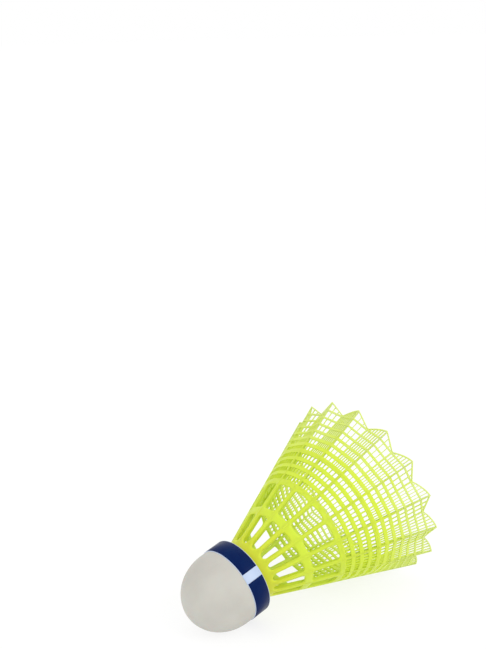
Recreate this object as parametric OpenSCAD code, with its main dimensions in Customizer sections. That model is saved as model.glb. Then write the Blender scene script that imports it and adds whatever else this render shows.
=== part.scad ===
// Badminton shuttlecock, moulded skirt on a round-nosed cork base, lying as it rests on a table.
// Each piece is drawn along its own axis: height 0 at the rear of the base, + towards the skirt's
// mouth, angle 0 pointing straight down. laid() then tips it onto its nose and two lowest tips.

/* [Base] */
// Diameter over the tape
base_d = 26.5; // [25:0.1:28]
// Length of the rounded nose
nose_len = 14.8; // [12.5:0.1:17]
// Bare straight wall between nose and tape
straight_w = 2.1; // [1:0.1:4]
// Thickness of the nose skin
skin_t = 0.6; // [0.3:0.1:1.2]

/* [Collar tape] */
// Width of the tape
tape_w = 6.1; // [4:0.1:8]
// Thickness of the tape
tape_t = 0.2; // [0.15:0.05:0.4]
// Arc of the pale blank panel
panel_arc = 14.4; // [8:0.2:40]
// Where the panel's middle stands, from straight down
panel_turn = -122.3; // [-170:0.1:170]

/* [Skirt] */
// Number of quills and tips
quills = 16; // [14:1:18]
// Length from the rear of the base to the tips
skirt_len = 59.3; // [56:0.1:64]
// Diameter across the tips
mouth_d = 67.2; // [62:0.1:70]
// Diameter where the skirt leaves the base
root_d = 18.5; // [17:0.1:21]
// Diameter of the stem in the cork
stem_d = 10; // [6:0.5:12]
// Depth of the stem in the cork
stem_len = 9; // [5:0.5:12]
// Wall of the hollow stem
stem_t = 1.3; // [0.8:0.1:2.5]

/* [Quills] */
// Width of a quill between the lower windows
quill_w = 1.75; // [1.2:0.05:1.9]
// Width of a quill between the upper windows
rib_w = 1.5; // [1.0:0.05:1.7]
// Width of a quill at the foot of the net
net_w = 1.0; // [0.7:0.05:1.2]
// Width of a quill at its tip
tip_w = 0.62; // [0.5:0.02:0.9]
// Depth of a quill at the collar
quill_t = 2.2; // [1.3:0.1:2.4]
// Depth of a quill at its tip
tip_t = 0.8; // [0.6:0.05:1.2]

/* [Windows] */
// Top of the scalloped collar
collar_h = 5.7; // [5:0.1:7]
// Top of the lower windows
window_top = 14.3; // [12:0.1:16]
// Height of the solid ring between the windows
ring_h = 2.9; // [2:0.1:3.5]
// Top of the upper windows
upper_top = 26.2; // [24:0.1:27]

/* [Net] */
// Rows of openings in the round part of the net
net_rows = 4; // [3:1:4]
// Middle of the lowest row
net_first = 29.2; // [28.8:0.1:29.6]
// Distance between rows
net_pitch = 2.87; // [2.7:0.01:2.95]
// Height of an opening
net_gap = 1.6; // [1.2:0.1:1.8]
// Width of the strand along each fold
fold_w = 0.5; // [0.4:0.05:0.8]

/* [Pleated wings] */
// Rows of openings in the pleated part
wing_rows = 6; // [4:1:6]
// Distance between rows
wing_pitch = 2.75; // [2.5:0.01:2.8]
// Height of the lowest opening
wing_gap = 1.45; // [1.2:0.05:1.6]
// Growth of each opening over the one below
wing_grow = 0.17; // [0.05:0.01:0.2]
// Depth of the pleats at the rim
pleat = 2.5; // [1:0.1:3.5]
// Where the fold lies between two quills, as a share
fold_at = 0.478; // [0.4:0.002:0.6]
// How far below the tips the folds end
notch = 2.9; // [2.4:0.1:3.3]

/* [Hidden] */
eps = 0.01;
sink = 0.1;         // strands lie this far under the faces of the bands they cross
play = 0.05;        // clearance round the stem
cap_t = 1.2;        // floor of the skirt, on the rear of the cork
recess = 0.2;       // webs lie this far inside the quills' outer edges
ring_t = 0.9;       // radial thickness of the solid rings
net_t = 0.55;       // radial thickness of the net
nose_steps = 30;    // profile points round the nose
edge_h = 0.7;       // height of the border along the crown
band_extra = 0.12;  // the band under the pleats is this much wider than the others
fold_lead = 0.6;    // the folds start this far under the top of the net
reach = 50;         // longer than any radius
$fn = 96;

step = 360 / quills;
half = step / 2;
base_r = base_d / 2;
skin_r = base_r - tape_t;
nose_s = -tape_w - straight_w;
root_r = root_d / 2;
tip_r = mouth_d / 2;
slope = (tip_r - root_r) / skirt_len;
ring_top = window_top + ring_h;
net_top = net_first + (net_rows - 0.5) * net_pitch;
wing_first = net_first + net_rows * net_pitch + band_extra;
fold_len = sqrt(1 + slope * slope);
fold_start = net_top - fold_lead;
fold_end = skirt_len - notch;
// the fold's two ends, as [radius, height], sunk square to the cone at the rim
fold_a = [cone_r(fold_start), fold_start];
fold_b = [cone_r(fold_end) - pleat / fold_len, fold_end + pleat * slope / fold_len];

// How it lies: on the nose and the two lowest tips
tip_drop = tip_r * cos(half) + tip_w / 2 * sin(half);
tip_ahead = skirt_len - nose_s;
tilt = rest_tilt(15, 12);
low_x = nose_s * cos(tilt) - sqrt(pow(skin_r * sin(tilt), 2) + pow(nose_len * cos(tilt), 2));
high_x = skirt_len * cos(tilt) + tip_drop * sin(tilt);
rise = nose_drop(tilt) - nose_s * sin(tilt);

function cone_r(s) = root_r + slope * s;
function nose_drop(t) = sqrt(pow(skin_r * cos(t), 2) + pow(nose_len * sin(t), 2));
function rest_tilt(t, n) = n == 0 ? t
    : rest_tilt(acos(nose_drop(t) / norm([tip_drop, tip_ahead])) - atan(tip_ahead / tip_drop), n - 1);
function fold_r(s) = fold_a[0] + (fold_b[0] - fold_a[0]) * (s - fold_a[1]) / (fold_b[1] - fold_a[1]);
function net_low(k) = net_first + k * net_pitch - net_gap / 2;
function wing_hole(k) = wing_gap + k * wing_grow;
function wing_low(k) = wing_first + k * wing_pitch - wing_hole(k) / 2;
function polar(r, a) = [r * cos(a), r * sin(a)];

// Half section of a round-nosed plug of radius r and nose length l, open at the rear
function nose_points(r, l) = concat(
    [[0, 0]], [[r, 0]],
    [for (i = [0:nose_steps]) [r * cos(90 * i / nose_steps), nose_s - l * sin(90 * i / nose_steps)]]);

module laid() {
    translate([-(low_x + high_x) / 2, 0, rise]) rotate([0, 90 - tilt, 0]) children();
}

module each_quill(shift = 0) {
    for (k = [0:quills - 1]) rotate(half + (k + shift) * step) children();
}

// A shape drawn as [radius, height], given the width w, standing at angle 0
module upright(w) {
    rotate([90, 0, 0]) linear_extrude(w, center = true) children();
}

// A shape drawn as [sideways, height], driven outwards along angle 0
module outwards() {
    rotate([90, 0, 90]) linear_extrude(reach) children();
}

// Ring between two heights whose outer face follows the cone
module cone_ring(s1, s2, t, inset = recess) {
    rotate_extrude() polygon([
        [cone_r(s1) - inset - t, s1], [cone_r(s1) - inset, s1],
        [cone_r(s2) - inset, s2], [cone_r(s2) - inset - t, s2]]);
}

// Ring folded in at every fold line and out at every quill
module folded_ring(s1, s2, t) {
    s = (s1 + s2) / 2;
    outer = [for (k = [0:quills - 1]) for (side = [0, 1])
        polar(side == 0 ? cone_r(s) - recess : fold_r(s) - recess,
              half + (k + side * fold_at) * step)];
    inner = [for (p = outer) p * (1 - t / norm(p))];
    translate([0, 0, s1]) linear_extrude(s2 - s1) difference() {
        polygon(outer);
        polygon(inner);
    }
}

// Strand along a fold between two heights, with r1 and r2 its outer radii there
module fold_strand(s1, r1, s2, r2) {
    t = net_t - 2 * sink;
    each_quill(fold_at) upright(fold_w)
        polygon([[r1 - t, s1], [r1, s1], [r2, s2], [r2 - t, s2]]);
}

// Sideways outline of a quill, wide between the windows and narrow at the tip
module quill_slab() {
    outwards() polygon([
        [-quill_w / 2, collar_h], [quill_w / 2, collar_h], [quill_w / 2, window_top],
        [rib_w / 2, ring_top], [rib_w / 2, upper_top], [net_w / 2, net_first],
        [tip_w / 2, skirt_len], [-tip_w / 2, skirt_len],
        [-net_w / 2, net_first], [-rib_w / 2, upper_top], [-rib_w / 2, ring_top],
        [-quill_w / 2, window_top]]);
}

// Border from a tip down to the fold at angle turn, as a thin sloping bar
module crown_edge(turn) {
    from = polar(tip_r - recess - net_t / 2, 0);
    run = polar(fold_b[0] - recess - net_t / 2, turn) - from;
    translate(from) rotate(atan2(run[1], run[0])) rotate([90, 0, 0])
        linear_extrude(net_t, center = true) polygon([
            [0, skirt_len - eps], [0, skirt_len - edge_h],
            [norm(run), fold_b[1] - edge_h], [norm(run), fold_b[1]]]);
}

module nose_skin() {
    color([0.83, 0.82, 0.78]) laid() difference() {
        rotate_extrude() polygon(nose_points(skin_r, nose_len));
        rotate_extrude() polygon(nose_points(skin_r - skin_t, nose_len - skin_t));
        translate([0, 0, -tape_w]) cylinder(r = skin_r - skin_t, h = tape_w + 1);
    }
}

module cork_core() {
    color([0.80, 0.64, 0.44]) laid() difference() {
        rotate_extrude() polygon(nose_points(skin_r - skin_t, nose_len - skin_t));
        translate([0, 0, -stem_len - play]) cylinder(d = stem_d + 2 * play, h = stem_len + 1);
    }
}

module tape_arc(arc, middle) {
    rotate(middle - arc / 2) rotate_extrude(angle = arc)
        translate([skin_r, -tape_w]) square([tape_t, tape_w]);
}

module collar_tape() {
    color([0.06, 0.15, 0.38]) laid() tape_arc(360 - panel_arc, panel_turn + 180);
}

module tape_panel() {
    color([0.86, 0.91, 0.99]) laid() tape_arc(panel_arc, panel_turn);
}

module skirt_stem() {
    color([0.78, 0.86, 0.20]) laid() difference() {
        union() {
            translate([0, 0, -stem_len]) cylinder(d = stem_d, h = stem_len + eps);
            cylinder(r1 = cone_r(0), r2 = cone_r(collar_h), h = collar_h);
        }
        translate([0, 0, cap_t]) cylinder(r1 = cone_r(cap_t) - quill_t,
            r2 = cone_r(collar_h + 1) - quill_t, h = collar_h + 1 - cap_t);
        translate([0, 0, -stem_len - 1]) cylinder(d = stem_d - 2 * stem_t, h = stem_len + 1);
        each_quill(0.5) translate([root_r / 2, 0, collar_h]) rotate([0, 90, 0])
            cylinder(r = cone_r(collar_h) * sin(half) - quill_w / 2, h = reach);
    }
}

module quill_ribs() {
    color([0.84, 0.94, 0.33]) laid() each_quill() intersection() {
        quill_slab();
        upright(2 * quill_w) polygon([
            [cone_r(collar_h) - quill_t, collar_h], [cone_r(collar_h), collar_h],
            [tip_r, skirt_len], [tip_r - tip_t, skirt_len],
            [cone_r(upper_top) - (quill_t + tip_t) / 2, upper_top]]);
    }
}

module ring_panels() {
    color([0.83, 0.93, 0.32]) laid() difference() {
        cone_ring(window_top, ring_top, ring_t);
        each_quill() quill_slab();
    }
}

module net_panels() {
    color([0.82, 0.92, 0.32]) laid() difference() {
        union() {
            cone_ring(upper_top, net_low(0), ring_t);
            for (k = [0:net_rows - 2]) cone_ring(net_low(k) + net_gap, net_low(k + 1), net_t);
            cone_ring(net_low(net_rows - 1) + net_gap, wing_low(0), net_t);
            fold_strand(net_low(0) - sink, cone_r(net_low(0)) - recess - sink,
                        wing_low(0), cone_r(wing_low(0)) - recess - sink);
        }
        each_quill() quill_slab();
    }
}

module wing_panels() {
    color([0.80, 0.91, 0.34]) laid() difference() {
        union() {
            for (k = [0:wing_rows - 1])
                folded_ring(wing_low(k) + wing_hole(k),
                            k < wing_rows - 1 ? wing_low(k + 1) : wing_low(k) + wing_hole(k) + edge_h,
                            net_t);
            fold_strand(wing_low(0), fold_r(wing_low(0)) - recess - sink,
                        fold_b[1] - sink, fold_r(fold_b[1] - sink) - recess - sink);
            each_quill() { crown_edge(fold_at * step); crown_edge((fold_at - 1) * step); }
        }
        each_quill() quill_slab();
    }
}

nose_skin();
cork_core();
collar_tape();
tape_panel();
skirt_stem();
quill_ribs();
ring_panels();
net_panels();
wing_panels();
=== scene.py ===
import math
import bpy
import bmesh
from mathutils import Matrix, Vector


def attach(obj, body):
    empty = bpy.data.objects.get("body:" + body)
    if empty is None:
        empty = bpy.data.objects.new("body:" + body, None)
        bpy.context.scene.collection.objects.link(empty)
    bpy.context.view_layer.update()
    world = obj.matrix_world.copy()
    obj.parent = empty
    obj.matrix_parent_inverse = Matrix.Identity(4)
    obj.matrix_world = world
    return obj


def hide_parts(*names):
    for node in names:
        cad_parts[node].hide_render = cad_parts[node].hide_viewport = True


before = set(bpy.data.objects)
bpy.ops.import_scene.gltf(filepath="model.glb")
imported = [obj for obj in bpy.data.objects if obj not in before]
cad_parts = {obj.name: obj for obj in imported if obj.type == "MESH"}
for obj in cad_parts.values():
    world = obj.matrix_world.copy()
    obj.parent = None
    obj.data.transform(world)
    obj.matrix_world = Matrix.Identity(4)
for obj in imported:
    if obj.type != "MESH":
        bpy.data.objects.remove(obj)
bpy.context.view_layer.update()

scene = bpy.context.scene
mm = 0.001

# how it lies
# heights run along the shuttlecock's own axis: 0 at the rear of the base, + towards the mouth
shuttle = {
    "quills": 16,
    "rootRadius": 9.25,      # where the skirt leaves the base
    "tipRadius": 33.6,
    "skirtLength": 59.3,
    "tapeRadius": 13.25,
    "tapeWidth": 6.1,
    "tapeThickness": 0.2,
    "straightWall": 2.1,
    "noseLength": 14.8,
    "skinThickness": 0.6,
    "tipWidth": 0.62,
}
sectorAngle = 2 * math.pi / shuttle["quills"]
slope = (shuttle["tipRadius"] - shuttle["rootRadius"]) / shuttle["skirtLength"]
skinRadius = shuttle["tapeRadius"] - shuttle["tapeThickness"]
noseHeight = -shuttle["tapeWidth"] - shuttle["straightWall"]


def noseDrop(tilt):
    return math.hypot(skinRadius * math.cos(tilt), shuttle["noseLength"] * math.sin(tilt))


# where the axis goes when nose and two lowest tips touch the floor
def restingPlace():
    drop = shuttle["tipRadius"] * math.cos(sectorAngle / 2) \
        + shuttle["tipWidth"] / 2 * math.sin(sectorAngle / 2)
    ahead = shuttle["skirtLength"] - noseHeight
    tilt = math.radians(15)      # a first guess, which the loop refines
    for turn in range(12):
        tilt = math.acos(noseDrop(tilt) / math.hypot(drop, ahead)) - math.atan2(ahead, drop)
    low = noseHeight * math.cos(tilt) - math.hypot(
        skinRadius * math.sin(tilt), shuttle["noseLength"] * math.cos(tilt))
    high = shuttle["skirtLength"] * math.cos(tilt) + drop * math.sin(tilt)
    rise = noseDrop(tilt) - noseHeight * math.sin(tilt)
    place = Matrix.Translation(Vector((-(low + high) / 2, 0, rise)) * mm)
    return tilt, place @ Matrix.Rotation(math.pi / 2 - tilt, 4, "Y") @ Matrix.Scale(mm, 4)


tilt, lie = restingPlace()
print("lies at", round(math.degrees(tilt), 3), "degrees")

# camera, light and floor
studio = {
    "cameraAt": (-0.24369, -0.27138, 0.18832),
    "cameraTurn": (75.973, 1.291, -39.959),
    "lens": 64.24,
    "worldLight": 1.0,
    "keyPower": 2.2,
    "keyAt": (0.2, -0.8, 0.6),
    "keySize": 0.6,
    "fillPower": 0.6,
    "fillAt": (-0.8, 0.1, 0.6),
    "floorColor": (0.22, 0.22, 0.22, 1),
    "floorGlow": 0.79,       # keeps the floor pale where the object shades it
    "floorSide": 40.0,
}


def makeStudio():
    camera = bpy.data.objects.new("camera", bpy.data.cameras.new("camera"))
    scene.collection.objects.link(camera)
    camera.location = studio["cameraAt"]
    camera.rotation_euler = [math.radians(a) for a in studio["cameraTurn"]]
    camera.data.sensor_width = 36
    camera.data.lens = studio["lens"]
    camera.data.clip_start = 0.01
    scene.camera = camera

    world = bpy.data.worlds.new("studio")
    world.use_nodes = True
    world.node_tree.nodes["Background"].inputs[0].default_value = (1, 1, 1, 1)
    world.node_tree.nodes["Background"].inputs[1].default_value = studio["worldLight"]
    scene.world = world
    scene.view_settings.view_transform = "Standard"

    for name, power, at, size in (
            ("key", studio["keyPower"], studio["keyAt"], studio["keySize"]),
            ("fill", studio["fillPower"], studio["fillAt"], studio["keySize"])):
        lamp = bpy.data.objects.new(name, bpy.data.lights.new(name, "AREA"))
        scene.collection.objects.link(lamp)
        lamp.data.energy = power
        lamp.data.size = size
        lamp.location = at
        lamp.rotation_euler = (-Vector(at)).to_track_quat("-Z", "Y").to_euler()

    mesh = bpy.data.meshes.new("floor")
    side = studio["floorSide"]
    mesh.from_pydata([(-side, -side, 0), (side, -side, 0), (side, side, 0), (-side, side, 0)],
                     [], [(0, 1, 2, 3)])
    floor = bpy.data.objects.new("floor", mesh)
    scene.collection.objects.link(floor)
    paint = bpy.data.materials.new("floorPaint")
    paint.use_nodes = True
    shader = paint.node_tree.nodes["Principled BSDF"]
    shader.inputs["Base Color"].default_value = studio["floorColor"]
    shader.inputs["Roughness"].default_value = 1.0
    shader.inputs["Specular IOR Level"].default_value = 0.0
    shader.inputs["Emission Color"].default_value = (1, 1, 1, 1)
    shader.inputs["Emission Strength"].default_value = studio["floorGlow"]
    mesh.materials.append(paint)
    print("studio set")


makeStudio()


# node helpers
def isSocket(value):
    return isinstance(value, bpy.types.NodeSocket)


def feed(tree, socket, value):
    if isSocket(value):
        tree.links.new(value, socket)
    else:
        socket.default_value = value


def add(tree, kind, inputs=None, **settings):
    node = tree.nodes.new(kind)
    for name, value in settings.items():
        setattr(node, name, value)
    for name, value in (inputs or {}).items():
        feed(tree, node.inputs[name], value)
    return node


def calc(tree, operation, *values):
    node = add(tree, "ShaderNodeMath", operation=operation)
    for socket, value in zip(node.inputs, values):
        feed(tree, socket, value)
    return node.outputs[0]


def pick(tree, test, whenNot, when):
    node = add(tree, "GeometryNodeSwitch", input_type="FLOAT")
    feed(tree, node.inputs[0], test)
    feed(tree, node.inputs[1], whenNot)
    feed(tree, node.inputs[2], when)
    return node.outputs[0]


def sRgb(r, g, b):
    def one(c):
        c /= 255
        return c / 12.92 if c <= 0.04045 else ((c + 0.055) / 1.055) ** 2.4
    return (one(r), one(g), one(b), 1)


# finishes
nylonLook = {
    "baseTintAndShade": sRgb(206, 215, 38),       # thick parts near the base, partly painted shade: more olive-yellow, like the shaded hollow of the base
    "bright": sRgb(202, 222, 54),
    "pale": sRgb(206, 222, 124),      # thin strands near the tips
    "roughness": (0.36, 0.5),
    "glow": 0.3,                      # light scattered inside the plastic
    "glowDepth": 0.0016,
    "glowReach": (1.0, 1.0, 0.35),
    "drift": 0.3,                     # how far the flow pattern shifts the colour
    "flowScale": 160.0,
    "flowShare": 0.6,
    "grainScale": 1800.0,
    "bump": 0.12,
    "bumpDepth": 0.0002,
    "specular": 0.4,
}


def newFinish(name):
    finish = bpy.data.materials.new(name)
    finish.use_nodes = True
    tree = finish.node_tree
    return finish, tree, tree.nodes["Principled BSDF"]


def noise(tree, vector, scale, detail=3.0):
    return add(tree, "ShaderNodeTexNoise",
               {"Vector": vector, "Scale": scale, "Detail": detail}).outputs["Fac"]


def ramp(tree, value, *stops):
    node = add(tree, "ShaderNodeValToRGB", {"Fac": value})
    bar = node.color_ramp
    while len(bar.elements) < len(stops):
        bar.elements.new(0.5)
    for element, (at, color) in zip(bar.elements, stops):
        element.position = at
        element.color = color
    return node.outputs["Color"]


def gray(v):
    return (v, v, v, 1)


def bumps(tree, shader, height, look):
    node = add(tree, "ShaderNodeBump", {"Height": height, "Strength": look["bump"],
                                        "Distance": look["bumpDepth"]})
    tree.links.new(node.outputs["Normal"], shader.inputs["Normal"])


def blend(tree, one, other, share):
    return calc(tree, "ADD", calc(tree, "MULTIPLY", one, share),
                calc(tree, "MULTIPLY", other, 1 - share))


def roughen(tree, shader, pattern, atLow, atHigh):
    tree.links.new(ramp(tree, pattern, (0.3, gray(atLow)), (0.7, gray(atHigh))),
                   shader.inputs["Roughness"])


def makeNylon():
    look = nylonLook
    finish, tree, shader = newFinish("limeNylon")
    coords = add(tree, "ShaderNodeTexCoord").outputs["Object"]
    height = add(tree, "ShaderNodeAttribute", attribute_name="height").outputs["Fac"]
    flow = noise(tree, coords, look["flowScale"])
    drift = calc(tree, "MULTIPLY", calc(tree, "SUBTRACT", flow, 0.5), look["drift"])
    level = calc(tree, "ADD", height, drift)
    # painted shade near the base: the colour runs from the olive-yellow base stop (thicker plastic plus
    # painted shade of the hollow) to the plain lime at 0.28 of the height
    color = ramp(tree, level, (0.0, look["baseTintAndShade"]), (0.28, look["bright"]), (0.7, look["bright"]),
                 (1.0, look["pale"]))
    tree.links.new(color, shader.inputs["Base Color"])
    grain = noise(tree, coords, look["grainScale"], 2.0)
    low, high = look["roughness"]
    roughen(tree, shader, flow, low, high)
    bumps(tree, shader, blend(tree, flow, grain, look["flowShare"]), look)
    shader.inputs["Subsurface Weight"].default_value = look["glow"]
    shader.inputs["Subsurface Radius"].default_value = look["glowReach"]
    shader.inputs["Subsurface Scale"].default_value = look["glowDepth"]
    shader.inputs["Specular IOR Level"].default_value = look["specular"]
    return finish


skinLook = {
    "light": sRgb(196, 194, 186),
    "dark": sRgb(184, 180, 172),
    "roughness": (0.55, 0.72),
    "poreScale": 2600.0,
    "cloudScale": 55.0,
    "cloudShare": 0.5,
    "bump": 0.16,
    "bumpDepth": 0.0002,
    "specular": 0.2,
    "glow": 0.1,
    "glowDepth": 0.002,
}


def makeSkin():
    look = skinLook
    finish, tree, shader = newFinish("coatedSkin")
    coords = add(tree, "ShaderNodeTexCoord").outputs["Object"]
    clouds = noise(tree, coords, look["cloudScale"], 4.0)
    pores = add(tree, "ShaderNodeTexVoronoi", {"Vector": coords, "Scale": look["poreScale"]},
                feature="SMOOTH_F1").outputs["Distance"]
    tree.links.new(ramp(tree, clouds, (0.3, look["dark"]), (0.65, look["light"])),
                   shader.inputs["Base Color"])
    low, high = look["roughness"]
    roughen(tree, shader, clouds, high, low)
    bumps(tree, shader, blend(tree, clouds, pores, look["cloudShare"]), look)
    shader.inputs["Specular IOR Level"].default_value = look["specular"]
    shader.inputs["Subsurface Weight"].default_value = look["glow"]
    shader.inputs["Subsurface Scale"].default_value = look["glowDepth"]
    return finish


tapeLook = {
    "navy": sRgb(2, 24, 76),
    "navyWorn": sRgb(6, 36, 84),
    "panel": sRgb(193, 207, 231),
    "panelShade": sRgb(182, 198, 226),
    "roughness": (0.26, 0.36),
    "waveScale": 210.0,
    "waveShare": 0.7,
    "filmScale": 3200.0,
    "bump": 0.08,
    "bumpDepth": 0.0002,
    "specular": 0.06,
}


def makeTape(name, main, other):
    look = tapeLook
    finish, tree, shader = newFinish(name)
    coords = add(tree, "ShaderNodeTexCoord").outputs["Object"]
    wave = noise(tree, coords, look["waveScale"], 3.0)
    film = noise(tree, coords, look["filmScale"], 2.0)
    tree.links.new(ramp(tree, wave, (0.35, main), (0.75, other)), shader.inputs["Base Color"])
    low, high = look["roughness"]
    roughen(tree, shader, film, low, high)
    bumps(tree, shader, blend(tree, wave, film, look["waveShare"]), look)
    shader.inputs["Specular IOR Level"].default_value = look["specular"]
    return finish


corkLook = {
    "grains": (sRgb(176, 128, 78), sRgb(206, 164, 112), sRgb(222, 186, 138)),
    "gaps": sRgb(120, 78, 44),
    "grainScale": 900.0,
    "gapWidth": 0.05,
    "bump": 0.5,
    "bumpDepth": 0.0003,
    "roughness": 0.85,
}


def makeCork():
    look = corkLook
    finish, tree, shader = newFinish("compositionCork")
    coords = add(tree, "ShaderNodeTexCoord").outputs["Object"]
    cells = add(tree, "ShaderNodeTexVoronoi", {"Vector": coords, "Scale": look["grainScale"]})
    edges = add(tree, "ShaderNodeTexVoronoi", {"Vector": coords, "Scale": look["grainScale"]},
                feature="DISTANCE_TO_EDGE").outputs["Distance"]
    tone = add(tree, "ShaderNodeSeparateColor", {"Color": cells.outputs["Color"]}).outputs[0]
    grains = ramp(tree, tone, (0.0, look["grains"][0]), (0.5, look["grains"][1]),
                  (1.0, look["grains"][2]))
    gap = calc(tree, "LESS_THAN", edges, look["gapWidth"])
    mix = add(tree, "ShaderNodeMix", {"Factor": gap}, data_type="RGBA")
    feed(tree, mix.inputs[6], grains)
    feed(tree, mix.inputs[7], look["gaps"])
    tree.links.new(mix.outputs[2], shader.inputs["Base Color"])
    bumps(tree, shader, edges, look)
    shader.inputs["Roughness"].default_value = look["roughness"]
    return finish


limeNylon = makeNylon()
coatedSkin = makeSkin()
navyTape = makeTape("navyTape", tapeLook["navy"], tapeLook["navyWorn"])
paleTape = makeTape("paleTape", tapeLook["panel"], tapeLook["panelShade"])
compositionCork = makeCork()
print("finishes made")


# geometry node trees
weldDistance = 0.002


# each size becomes a named input; returns the tree and its input sockets by name
def newTree(name, sizes):
    tree = bpy.data.node_groups.new(name, "GeometryNodeTree")
    tree.interface.new_socket("Geometry", in_out="OUTPUT", socket_type="NodeSocketGeometry")
    for label, value in sizes.items():
        kind = "NodeSocketInt" if isinstance(value, int) else "NodeSocketFloat"
        socket = tree.interface.new_socket(label, in_out="INPUT", socket_type=kind)
        socket.default_value = value
    entry = tree.nodes.new("NodeGroupInput")
    return tree, {label: entry.outputs[label] for label in sizes}


def endTree(tree, geometry, finish):
    smooth = add(tree, "GeometryNodeSetShadeSmooth", {"Geometry": geometry})
    real = add(tree, "GeometryNodeRealizeInstances", {"Geometry": smooth.outputs[0]})
    painted = add(tree, "GeometryNodeSetMaterial", {"Geometry": real.outputs[0], "Material": finish})
    leave = tree.nodes.new("NodeGroupOutput")
    tree.links.new(painted.outputs[0], leave.inputs[0])


def storeHeight(tree, geometry, height):
    share = calc(tree, "DIVIDE", height, shuttle["skirtLength"])
    node = add(tree, "GeometryNodeStoreNamedAttribute",
               {"Geometry": geometry, "Name": "height", "Value": share}, data_type="FLOAT",
               domain="POINT")
    return node.outputs[0]


# runs the tree with these sizes and keeps the result as a plain mesh, laid at rest
def grown(name, tree, sizes):
    carrier = bpy.data.objects.new(name + "Carrier", bpy.data.meshes.new(name + "Carrier"))
    scene.collection.objects.link(carrier)
    modifier = carrier.modifiers.new("grow", "NODES")
    modifier.node_group = tree
    for item in tree.interface.items_tree:
        if item.item_type == "SOCKET" and item.in_out == "INPUT" and item.name in sizes:
            modifier[item.identifier] = sizes[item.name]
    bpy.context.view_layer.update()
    evaluated = carrier.evaluated_get(bpy.context.evaluated_depsgraph_get())
    mesh = bpy.data.meshes.new_from_object(evaluated)
    bpy.data.objects.remove(carrier)
    mesh.name = name
    mesh.transform(lie)
    mesh.update()
    piece = bpy.data.objects.new(name, mesh)
    scene.collection.objects.link(piece)
    return piece


def thicken(piece, thickness):
    wall = piece.modifiers.new("wall", "SOLIDIFY")
    wall.thickness = thickness * mm
    wall.offset = -1


def rounded(piece, levels):
    rounding = piece.modifiers.new("rounding", "SUBSURF")
    rounding.levels = levels
    rounding.render_levels = levels


# bevels only the square edges, so that the curve of the cone stays as it is
def softEdges(piece, width):
    bevel = piece.modifiers.new("softEdges", "BEVEL")
    bevel.width = width * mm
    bevel.segments = 1
    bevel.limit_method = "ANGLE"
    bevel.angle_limit = math.radians(50)
    bevel.harden_normals = True


def coneRadius(tree, sizes, height):
    widened = calc(tree, "MULTIPLY_ADD", height, sizes["Slope"], sizes["Root Radius"])
    return calc(tree, "SUBTRACT", widened, sizes["Recess"])


def onCone(tree, radius, angle, height):
    return add(tree, "ShaderNodeCombineXYZ", {
        "X": calc(tree, "MULTIPLY", radius, calc(tree, "COSINE", angle)),
        "Y": calc(tree, "MULTIPLY", radius, calc(tree, "SINE", angle)),
        "Z": height}).outputs[0]


# perforated webs
webEdge = 0.09
webSizes = {
    "Quills": shuttle["quills"], "Wide Cells": 3, "Narrow Cells": 3, "Fold Share": 0.478,
    "Rows": 4, "Bottom": 26.2, "First Row": 29.2, "Row Pitch": 2.87, "Opening": 1.6,
    "Opening Growth": 0.0, "Top": 39.0, "Strand Width": 0.36, "Fold Width": 0.5,
    "Quill Width Low": 1.0, "Quill Width High": 0.85, "Root Radius": shuttle["rootRadius"],
    "Slope": slope, "Recess": 0.2, "Pleat Start": 38.6, "Pleat Rate": 0.0, "Crown": 0,
    "Tip Height": shuttle["skirtLength"], "Notch": 2.9,
    "Wide Curve": 1.05, "Narrow Curve": 1.7, "Border Width": 0.42, "Arch": 0.0,
    "Least Crown": 0.3, "Least Opening": 0.03, "Smallest Hole": 0.12,
}


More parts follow.
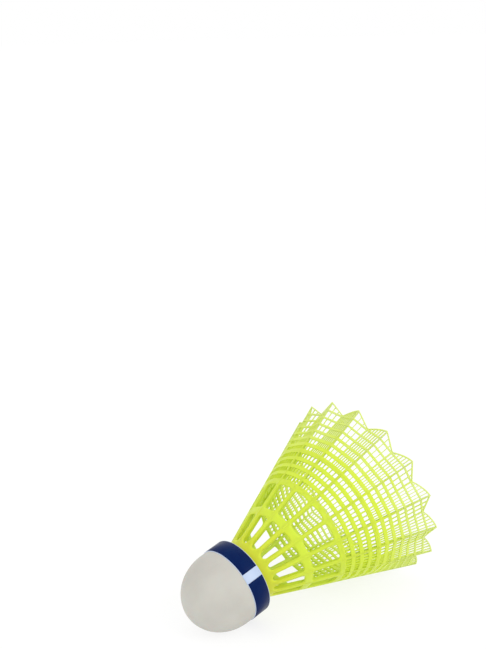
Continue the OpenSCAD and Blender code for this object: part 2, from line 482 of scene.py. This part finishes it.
def makeWebTree():
    tree, size = newTree("perforatedWeb", webSizes)

    def m(operation, *values):
        return calc(tree, operation, *values)

    def isEqual(value, other):
        return m("COMPARE", value, other, 0.4)

    # three lines to a cell: its border and the two edges of its opening
    cells = m("ADD", size["Wide Cells"], size["Narrow Cells"])
    columnLines = m("ADD", m("MULTIPLY", m("MULTIPLY", size["Quills"], cells), 3), 1)
    rowLines = m("ADD", m("MULTIPLY", m("ADD", size["Rows"], size["Crown"]), 3), 1)
    grid = add(tree, "GeometryNodeMeshGrid", {"Vertices X": columnLines, "Vertices Y": rowLines})
    index = add(tree, "GeometryNodeInputIndex").outputs[0]
    column = m("FLOOR", m("DIVIDE", index, rowLines))
    line = m("SUBTRACT", index, m("MULTIPLY", column, rowLines))

    cell = m("FLOOR", m("DIVIDE", column, 3))
    edge = m("SUBTRACT", column, m("MULTIPLY", cell, 3))
    sector = m("FLOOR", m("DIVIDE", cell, cells))
    inSector = m("SUBTRACT", cell, m("MULTIPLY", sector, cells))
    isNarrow = m("GREATER_THAN", inSector, m("SUBTRACT", size["Wide Cells"], 0.5))
    count = pick(tree, isNarrow, size["Wide Cells"], size["Narrow Cells"])
    place = m("SUBTRACT", inSector, m("MULTIPLY", isNarrow, size["Wide Cells"]))

    # height of every line, before the crown
    row = m("FLOOR", m("DIVIDE", line, 3))
    rowEdge = m("SUBTRACT", line, m("MULTIPLY", row, 3))
    middle = m("MULTIPLY_ADD", row, size["Row Pitch"], size["First Row"])
    halfHole = m("DIVIDE", m("MULTIPLY_ADD", row, size["Opening Growth"], size["Opening"]), 2)
    low = m("SUBTRACT", middle, halfHole)
    high = m("ADD", middle, halfHole)
    before = m("SUBTRACT", m("SUBTRACT", high, size["Row Pitch"]),
               m("DIVIDE", size["Opening Growth"], 2))
    between = m("DIVIDE", m("ADD", before, low), 2)
    lastLine = m("MULTIPLY", size["Rows"], 3)
    inCrown = m("GREATER_THAN", line, m("ADD", lastLine, 0.5))
    level = pick(tree, isEqual(rowEdge, 1), between, low)
    level = pick(tree, isEqual(rowEdge, 2), level, high)
    level = pick(tree, isEqual(line, 0), level, size["Bottom"])
    seam = pick(tree, size["Crown"], size["Top"], m("DIVIDE", m("ADD", before, size["Top"]), 2))
    level = pick(tree, isEqual(line, lastLine), level, seam)
    level = pick(tree, inCrown, level, size["Top"])

    # distance from quill to fold at that height, and how the openings share it
    def foldPoint(height):
        depth = m("MULTIPLY", m("MAXIMUM", m("SUBTRACT", height, size["Pleat Start"]), 0),
                  size["Pleat Rate"])
        steep = m("SQRT", m("ADD", m("MULTIPLY", size["Slope"], size["Slope"]), 1))
        inwards = m("DIVIDE", depth, steep)
        radius = m("SUBTRACT", coneRadius(tree, size, height), inwards)
        return radius, m("MULTIPLY_ADD", inwards, size["Slope"], height)

    step = m("DIVIDE", 2 * math.pi, size["Quills"])
    quillAngle = m("MULTIPLY", m("ADD", sector, 0.5), step)
    foldAngle = m("MULTIPLY_ADD", size["Fold Share"], step, quillAngle)
    nextAngle = m("ADD", quillAngle, step)

    def sides(height):
        quillRadius = coneRadius(tree, size, height)
        foldRadius, foldHeight = foldPoint(height)
        angleA = pick(tree, isNarrow, quillAngle, foldAngle)
        angleB = pick(tree, isNarrow, foldAngle, nextAngle)
        a = onCone(tree, pick(tree, isNarrow, quillRadius, foldRadius), angleA,
                   pick(tree, isNarrow, height, foldHeight))
        b = onCone(tree, pick(tree, isNarrow, foldRadius, quillRadius), angleB,
                   pick(tree, isNarrow, foldHeight, height))
        return a, b

    a, b = sides(level)
    span = add(tree, "ShaderNodeVectorMath", {0: a, 1: b}, operation="DISTANCE").outputs["Value"]
    along = m("DIVIDE", m("SUBTRACT", level, size["Bottom"]),
              m("SUBTRACT", size["Top"], size["Bottom"]))
    quillHalf = m("DIVIDE", m("MULTIPLY_ADD", along, m(
        "SUBTRACT", size["Quill Width High"], size["Quill Width Low"]), size["Quill Width Low"]), 2)
    foldHalf = m("DIVIDE", size["Fold Width"], 2)
    lead = pick(tree, isNarrow, quillHalf, foldHalf)
    strands = m("MULTIPLY", m("SUBTRACT", count, 1), size["Strand Width"])
    free = m("SUBTRACT", m("SUBTRACT", m("SUBTRACT", span, quillHalf), foldHalf), strands)
    hole = m("DIVIDE", free, count)
    start = m("MULTIPLY_ADD", place, m("ADD", hole, size["Strand Width"]), lead)
    border = pick(tree, isEqual(place, 0),
                  m("SUBTRACT", start, m("DIVIDE", size["Strand Width"], 2)), 0)
    reach = pick(tree, isEqual(edge, 1), border, start)
    reach = pick(tree, isEqual(edge, 2), reach, m("ADD", start, hole))
    share = m("DIVIDE", reach, span)

    # the crown falls from each tip to the fold
    fromQuill = pick(tree, isNarrow, share, m("SUBTRACT", 1, share))
    curve = pick(tree, isNarrow, size["Wide Curve"], size["Narrow Curve"])
    crown = m("SUBTRACT", size["Tip Height"],
              m("MULTIPLY", m("POWER", fromQuill, curve), size["Notch"]))
    inner = m("MAXIMUM", m("SUBTRACT", crown, size["Border Width"]),
              m("ADD", size["Top"], size["Least Opening"]))
    top = m("MAXIMUM", crown, m("ADD", size["Top"], size["Least Crown"]))
    height = pick(tree, isEqual(line, m("ADD", lastLine, 2)), level, inner)
    height = pick(tree, isEqual(line, m("ADD", lastLine, 3)), height, top)
    bow = m("MULTIPLY", m("MULTIPLY", share, m("SUBTRACT", 1, share)), m("MULTIPLY", size["Arch"], 4))
    height = pick(tree, isEqual(line, 1), height, m("SUBTRACT", height, bow))

    a, b = sides(height)
    mix = add(tree, "ShaderNodeMix", data_type="VECTOR")
    feed(tree, mix.inputs[0], share)
    feed(tree, mix.inputs[4], a)
    feed(tree, mix.inputs[5], b)
    kept = storeHeight(tree, grid.outputs[0], height)
    moved = add(tree, "GeometryNodeSetPosition", {"Geometry": kept, "Position": mix.outputs[1]})

    faceRows = m("SUBTRACT", rowLines, 1)
    faceColumn = m("FLOOR", m("DIVIDE", index, faceRows))
    faceLine = m("SUBTRACT", index, m("MULTIPLY", faceColumn, faceRows))
    area = add(tree, "GeometryNodeInputMeshFaceArea").outputs[0]
    isHole = m("MULTIPLY", isEqual(m("MODULO", faceColumn, 3), 1), isEqual(m("MODULO", faceLine, 3), 1))
    isHole = m("MULTIPLY", isHole, m("GREATER_THAN", area, size["Smallest Hole"]))
    cut = add(tree, "GeometryNodeDeleteGeometry", {"Geometry": moved.outputs[0], "Selection": isHole},
              domain="FACE", mode="ALL")
    closed = add(tree, "GeometryNodeMergeByDistance",
                 {"Geometry": cut.outputs[0], "Distance": weldDistance})
    endTree(tree, closed.outputs[0], limeNylon)
    return tree


# upper ring and the four round rows above it
roundNet = {
    "Wide Cells": 3, "Narrow Cells": 3, "Rows": 4, "Bottom": 26.9, "First Row": 29.2,
    "Row Pitch": 2.87, "Opening": 1.55, "Top": 39.3, "Strand Width": 0.31, "Fold Width": 0.5,
    "Quill Width Low": 1.1, "Quill Width High": 0.85, "Recess": 0.14, "Arch": 0.3,
    "thickness": 0.7,
}
# pleated rows up to the pointed crown
pleatedWings = {
    "Wide Cells": 3, "Narrow Cells": 6, "Rows": 6, "Bottom": 39.1, "First Row": 40.8,
    "Row Pitch": 2.75, "Opening": 1.4, "Opening Growth": 0.17, "Top": 56.25,
    "Strand Width": 0.26, "Fold Width": 0.46, "Quill Width Low": 0.85, "Quill Width High": 0.62,
    "Recess": 0.12, "Pleat Rate": 0.14, "Crown": 1, "thickness": 0.42,
}

webTree = makeWebTree()


def makeWeb(name, sizes, *nodes):
    given = dict(webSizes)
    given.update(sizes)
    thickness = given.pop("thickness")
    piece = grown(name, webTree, given)
    thicken(piece, thickness)
    softEdges(piece, webEdge)
    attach(piece, "root")
    if nodes:
        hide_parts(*nodes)
    print(name, len(piece.data.polygons), "faces")
    return piece


makeWeb("skirtNet", roundNet, "net_panels")
makeWeb("skirtWings", pleatedWings, "wing_panels")

# collar and both tiers of windows
collarSizes = {
    "Quills": shuttle["quills"], "Window Columns": 8, "Root Radius": shuttle["rootRadius"],
    "Slope": slope, "Recess": 0.1, "Recess From": 3.0, "Foot": 0.02, "First Line": 1.4,
    "Second Line Share": 0.72, "Scallop Middle": 5.7, "Scallop Radius": 1.39, "Window Top": 14.3,
    "Upper Bottom": 17.2, "Upper Top": 26.2, "Corner": 0.9, "Top": 28.0,
    "Quill Width": 1.75, "Upper Quill Width": 1.5, "Corner Step": 0.5,
}
collarWall = 1.0


def makeCollarTree():
    tree, size = newTree("windowedCollar", collarSizes)

    def m(operation, *values):
        return calc(tree, operation, *values)

    lines = 13
    columns = m("ADD", size["Window Columns"], 2)
    total = m("ADD", m("MULTIPLY", size["Quills"], columns), 1)
    grid = add(tree, "GeometryNodeMeshGrid", {"Vertices X": total, "Vertices Y": lines})
    index = add(tree, "GeometryNodeInputIndex").outputs[0]
    column = m("FLOOR", m("DIVIDE", index, lines))
    line = m("SUBTRACT", index, m("MULTIPLY", column, lines))
    sector = m("FLOOR", m("DIVIDE", column, columns))
    place = m("SUBTRACT", column, m("MULTIPLY", sector, columns))
    turn = m("MULTIPLY", m("DIVIDE", m("SUBTRACT", place, 1), size["Window Columns"]), math.pi)
    across = m("MULTIPLY", m("COSINE", turn), -1)     # -1 to 1 over the window
    bulge = m("SQRT", m("MAXIMUM", m("SUBTRACT", 1, m("MULTIPLY", across, across)), 0))
    low = m("SUBTRACT", size["Scallop Middle"], m("MULTIPLY", bulge, size["Scallop Radius"]))
    square = m("POWER", m("MAXIMUM", m("SUBTRACT", 1, m("POWER", m("ABSOLUTE", across), 4)), 0), 0.25)
    corner = m("MULTIPLY", m("SUBTRACT", 1, square), size["Corner"])
    high = m("SUBTRACT", size["Window Top"], corner)
    upperLow = m("ADD", size["Upper Bottom"], corner)
    upperHigh = m("SUBTRACT", size["Upper Top"], corner)
    past = size["Corner Step"]
    levels = [size["Foot"], size["First Line"], m("MULTIPLY", low, size["Second Line Share"]), low,
              m("ADD", low, past),
              m("SUBTRACT", high, past), high, m("DIVIDE", m("ADD", high, upperLow), 2),
              upperLow, m("ADD", upperLow, past), m("SUBTRACT", upperHigh, past), upperHigh,
              size["Top"]]
    height = levels[0]
    for at in range(1, lines):
        height = pick(tree, m("GREATER_THAN", line, at - 0.5), height, levels[at])
    fade = add(tree, "ShaderNodeMapRange", {"Value": height, "From Min": size["Recess From"],
                                            "From Max": size["Scallop Middle"]}).outputs[0]
    radius = m("MULTIPLY_ADD", height, size["Slope"], size["Root Radius"])
    radius = m("SUBTRACT", radius, m("MULTIPLY", fade, size["Recess"]))
    step = m("DIVIDE", 2 * math.pi, size["Quills"])
    halfChord = m("SINE", m("DIVIDE", step, 2))
    quillWidth = add(tree, "ShaderNodeMapRange", {
        "Value": height, "From Min": size["Window Top"], "From Max": size["Upper Bottom"],
        "To Min": size["Quill Width"], "To Max": size["Upper Quill Width"]}).outputs[0]
    halfWindow = m("SUBTRACT", m("MULTIPLY", radius, halfChord), m("DIVIDE", quillWidth, 2))
    middle = m("MULTIPLY", m("ADD", sector, 1), step)
    inWindow = m("ADD", middle, m("DIVIDE", m("MULTIPLY", across, halfWindow), radius))
    onQuill = m("SUBTRACT", middle, m("DIVIDE", step, 2))
    angle = pick(tree, m("LESS_THAN", place, 0.5), inWindow, onQuill)
    kept = storeHeight(tree, grid.outputs[0], height)
    moved = add(tree, "GeometryNodeSetPosition",
                {"Geometry": kept, "Position": onCone(tree, radius, angle, height)})
    faceColumn = m("FLOOR", m("DIVIDE", index, lines - 1))
    faceLine = m("SUBTRACT", index, m("MULTIPLY", faceColumn, lines - 1))
    facePlace = m("MODULO", faceColumn, columns)
    isOpen = m("MULTIPLY", m("GREATER_THAN", facePlace, 0.5),
               m("LESS_THAN", facePlace, m("SUBTRACT", columns, 1.5)))
    tiers = m("ADD", m("COMPARE", faceLine, 4, 1.4), m("COMPARE", faceLine, 9, 1.4))
    isOpen = m("MULTIPLY", isOpen, tiers)
    cut = add(tree, "GeometryNodeDeleteGeometry", {"Geometry": moved.outputs[0], "Selection": isOpen},
              domain="FACE", mode="ALL")
    closed = add(tree, "GeometryNodeMergeByDistance",
                 {"Geometry": cut.outputs[0], "Distance": weldDistance})
    endTree(tree, closed.outputs[0], limeNylon)
    return tree


collar = grown("skirtCollar", makeCollarTree(), collarSizes)
thicken(collar, collarWall)
rounded(collar, 2)
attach(collar, "root")
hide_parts("ring_panels")
print("skirtCollar", len(collar.data.polygons), "faces")

# quills
quillSizes = {
    "Quills": shuttle["quills"], "Rings": 26, "Start": 3.4, "End": 59.2,
    "Root Radius": shuttle["rootRadius"], "Slope": slope, "Recess": 0.0, "Base Width": 1.75,
    "Middle Width": 1.5, "Net Width": 1.0, "Tip Width": 0.56, "Narrows From": 14.3,
    "Narrows To": 17.2, "Net From": 26.2, "Net To": 29.2, "Base Depth": 2.2, "Tip Depth": 0.75,
    "Crowning": 0.25, "Sinks From": 20.0, "Sinks To": 36.0, "Sink Depth": 0.14,
}


def makeQuillTree():
    tree, size = newTree("quillRing", quillSizes)

    def m(operation, *values):
        return calc(tree, operation, *values)

    def slide(value, a, b, x, y):
        return add(tree, "ShaderNodeMapRange", {
            "Value": value, "From Min": a, "From Max": b, "To Min": x, "To Max": y}).outputs[0]

    bar = add(tree, "GeometryNodeMeshCube", {"Size": (1, 1, 1), "Vertices X": 3, "Vertices Y": 3,
                                             "Vertices Z": size["Rings"]})
    spot = add(tree, "ShaderNodeSeparateXYZ",
               {0: add(tree, "GeometryNodeInputPosition").outputs[0]}).outputs
    height = slide(spot[2], -0.5, 0.5, size["Start"], size["End"])
    wide = slide(height, size["Narrows From"], size["Narrows To"], size["Base Width"],
                 size["Middle Width"])
    slim = slide(height, size["Net From"], size["Net To"], 0, m(
        "SUBTRACT", size["Middle Width"], size["Net Width"]))
    thin = slide(height, size["Net To"], size["End"], 0, m(
        "SUBTRACT", size["Net Width"], size["Tip Width"]))
    width = m("SUBTRACT", m("SUBTRACT", wide, slim), thin)
    depth = slide(height, size["Start"], size["End"], size["Base Depth"], size["Tip Depth"])
    out = m("ADD", spot[0], 0.5)                      # 0 on the inside, 1 on the outside
    width = m("MULTIPLY", width, m("SUBTRACT", 1, m("MULTIPLY", size["Crowning"], m(
        "MULTIPLY", out, out))))
    sink = slide(height, size["Sinks From"], size["Sinks To"], 0, size["Sink Depth"])
    face = m("SUBTRACT", coneRadius(tree, size, height), sink)
    radius = m("SUBTRACT", face, m("MULTIPLY", depth, m("SUBTRACT", 1, out)))
    target = add(tree, "ShaderNodeCombineXYZ", {"X": radius, "Y": m("MULTIPLY", spot[1], width),
                                                "Z": height}).outputs[0]
    kept = storeHeight(tree, bar.outputs[0], height)
    moved = add(tree, "GeometryNodeSetPosition", {"Geometry": kept, "Position": target})
    dots = add(tree, "GeometryNodePoints", {"Count": size["Quills"]})
    index = add(tree, "GeometryNodeInputIndex").outputs[0]
    step = m("DIVIDE", 2 * math.pi, size["Quills"])
    turn = add(tree, "ShaderNodeCombineXYZ", {"Z": m("MULTIPLY", m("ADD", index, 0.5), step)})
    placed = add(tree, "GeometryNodeInstanceOnPoints", {
        "Points": dots.outputs[0], "Instance": moved.outputs[0], "Rotation": turn.outputs[0]})
    endTree(tree, placed.outputs[0], limeNylon)
    return tree


quills = grown("skirtQuills", makeQuillTree(), quillSizes)
rounded(quills, 1)
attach(quills, "root")
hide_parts("quill_ribs")
print("skirtQuills", len(quills.data.polygons), "faces")


# turned pieces
# a closed outline of (radius, height) turned about the axis
def revolved(name, outline, finish, steps=96, startAngle=0.0, sweep=2 * math.pi):
    shape = bmesh.new()
    whole = sweep > 2 * math.pi - 1e-6
    rings = []
    for k in range(steps if whole else steps + 1):
        angle = startAngle + sweep * k / steps
        rings.append([shape.verts.new((r * math.cos(angle), r * math.sin(angle), h))
                      for r, h in outline])
    count = len(outline)
    for k in range(steps):
        one, two = rings[k], rings[(k + 1) % len(rings)]
        for n in range(count):
            shape.faces.new((one[n], two[n], two[(n + 1) % count], one[(n + 1) % count]))
    if not whole:
        shape.faces.new(rings[0])
        shape.faces.new(reversed(rings[-1]))
    bmesh.ops.remove_doubles(shape, verts=shape.verts, dist=1e-5)
    bmesh.ops.dissolve_degenerate(shape, edges=shape.edges, dist=1e-6)
    bmesh.ops.recalc_face_normals(shape, faces=shape.faces)
    mesh = bpy.data.meshes.new(name)
    shape.to_mesh(mesh)
    shape.free()
    mesh.transform(lie)
    for face in mesh.polygons:
        face.use_smooth = True
    mesh.materials.append(finish)
    piece = bpy.data.objects.new(name, mesh)
    scene.collection.objects.link(piece)
    return piece


def settle(piece, slot, *nodes):
    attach(piece, "root")
    if nodes:
        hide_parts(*nodes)
    print(piece.name, len(piece.data.polygons), "faces")


skirtFloor = {
    "stemRadius": 5.0, "stemBore": 3.7, "stemLength": 9.0, "thickness": 1.2, "radius": 8.9,
    "edge": 0.3, "underside": 0.05,      # clear of the cork
}


def makeStem():
    s = skirtFloor
    outline = [(0, s["thickness"]), (s["radius"] - s["edge"], s["thickness"]),
               (s["radius"], s["thickness"] - s["edge"]), (s["radius"], s["underside"]),
               (s["stemRadius"], s["underside"]),
               (s["stemRadius"], -s["stemLength"]), (s["stemBore"], -s["stemLength"]),
               (s["stemBore"], 0.0), (0, 0.0)]
    piece = revolved("skirtStem", outline, limeNylon)
    settle(piece, "skirt", "skirt_stem")


makeStem()

baseShape = {"noseSteps": 28, "turns": 128, "rimRound": 0.25, "rearStep": 0.02}


def nosePoints(radius, length):
    steps = baseShape["noseSteps"]
    return [(radius * math.cos(math.pi / 2 * k / steps),
             noseHeight - length * math.sin(math.pi / 2 * k / steps)) for k in range(steps + 1)]


def makeBase():
    thin = shuttle["skinThickness"]
    rim = baseShape["rimRound"]
    outer = nosePoints(skinRadius, shuttle["noseLength"])
    inner = nosePoints(skinRadius - thin, shuttle["noseLength"] - thin)
    rear = -baseShape["rearStep"]
    outline = [(skinRadius - thin, rear), (skinRadius - rim, rear), (skinRadius, -rim),
               (skinRadius, -shuttle["tapeWidth"])]
    outline += outer + list(reversed(inner))
    skin = revolved("noseSkin", outline, coatedSkin, baseShape["turns"])
    settle(skin, "skin", "nose_skin")


makeBase()

tapeShape = {
    "panelArc": 14.4, "panelTurn": -122.3, "frontEdge": 0.05, "rearEdge": 0.15, "depth": 0.21,
    "turns": 160, "panelTurns": 10,
}
# fine pale rims where the tape ends on the nose and at the rear
rimShape = {"wire": 0.13, "sides": 8, "frontDrop": 0.06, "frontStand": 0.03, "rearInset": 0.2}


def tapeOutline():
    front, rear = tapeShape["frontEdge"], tapeShape["rearEdge"]
    radius = shuttle["tapeRadius"]
    inner = radius - tapeShape["depth"]
    low = -shuttle["tapeWidth"]
    return [(inner, low), (radius - front, low), (radius, low + front), (radius, -rear),
            (radius - rear, 0.0), (inner, 0.0)]


def makeTapes():
    arc = math.radians(tapeShape["panelArc"])
    middle = math.radians(tapeShape["panelTurn"])
    band = revolved("collarTape", tapeOutline(), navyTape, tapeShape["turns"], middle + arc / 2,
                    2 * math.pi - arc)
    settle(band, "tape", "collar_tape")
    panel = revolved("tapePanel", tapeOutline(), paleTape, tapeShape["panelTurns"],
                     middle - arc / 2, arc)
    settle(panel, "panel", "tape_panel")


def makeRim(name, height, radius):
    wire, sides = rimShape["wire"], rimShape["sides"]
    ring = [(radius + wire * math.cos(2 * math.pi * k / sides),
             height + wire * math.sin(2 * math.pi * k / sides)) for k in range(sides)]
    settle(revolved(name, ring, paleTape, tapeShape["turns"]), "panel")


makeTapes()
makeRim("frontRim", -shuttle["tapeWidth"] - rimShape["frontDrop"],
        skinRadius + rimShape["frontStand"])
makeRim("rearRim", 0.0, shuttle["tapeRadius"] - rimShape["rearInset"])

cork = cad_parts["cork_core"]
for slot in cork.material_slots:
    slot.material = compositionCork
print("cork finished")
